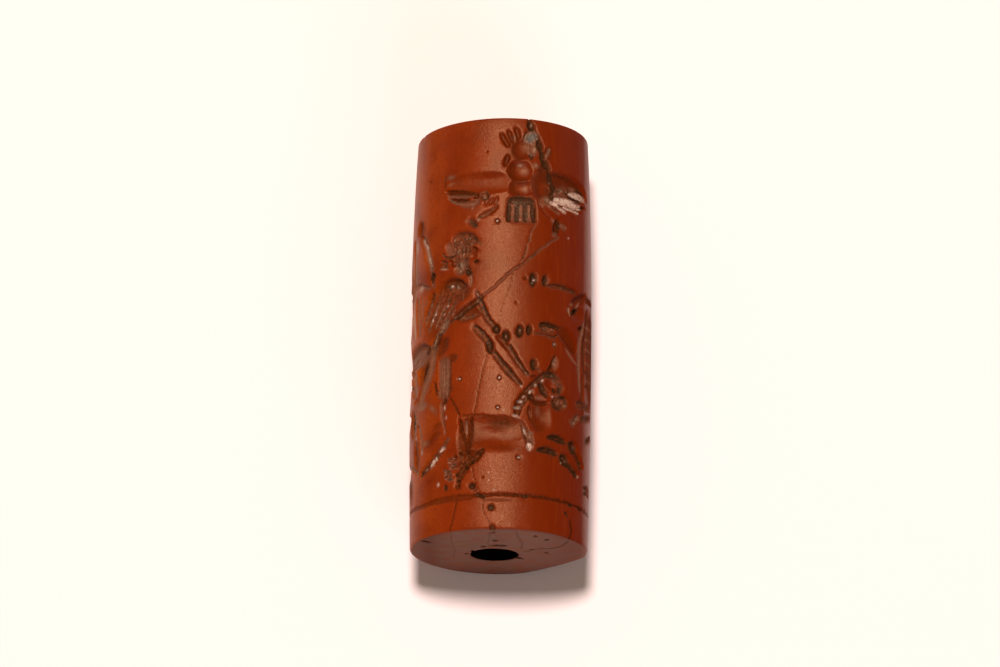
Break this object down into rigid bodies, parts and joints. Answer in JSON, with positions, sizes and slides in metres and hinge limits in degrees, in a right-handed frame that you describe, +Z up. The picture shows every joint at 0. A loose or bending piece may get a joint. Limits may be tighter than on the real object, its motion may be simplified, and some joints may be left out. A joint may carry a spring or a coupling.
{
  "type": "cylinder seal",
  "caption": "Barrel-shaped cylinder seal of red jasper with an axial bore, its wall carved in intaglio with winged and walking beasts, lying on its side.",
  "frame": {"origin": "on the small flat along the underside, below the middle of the seal lying on its side", "axes": "+Y along the bore from the foot end of the carved scene to its sky end; +Z up; +X to the right of the scene"},
  "size_m": [0.0132, 0.0311, 0.0129],
  "materials": {
    "red_jasper": "polished wall, matt ends and cuts"
  },
  "bodies": {
    "root": {"seal": "red_jasper"}
  },
  "joints": []
}
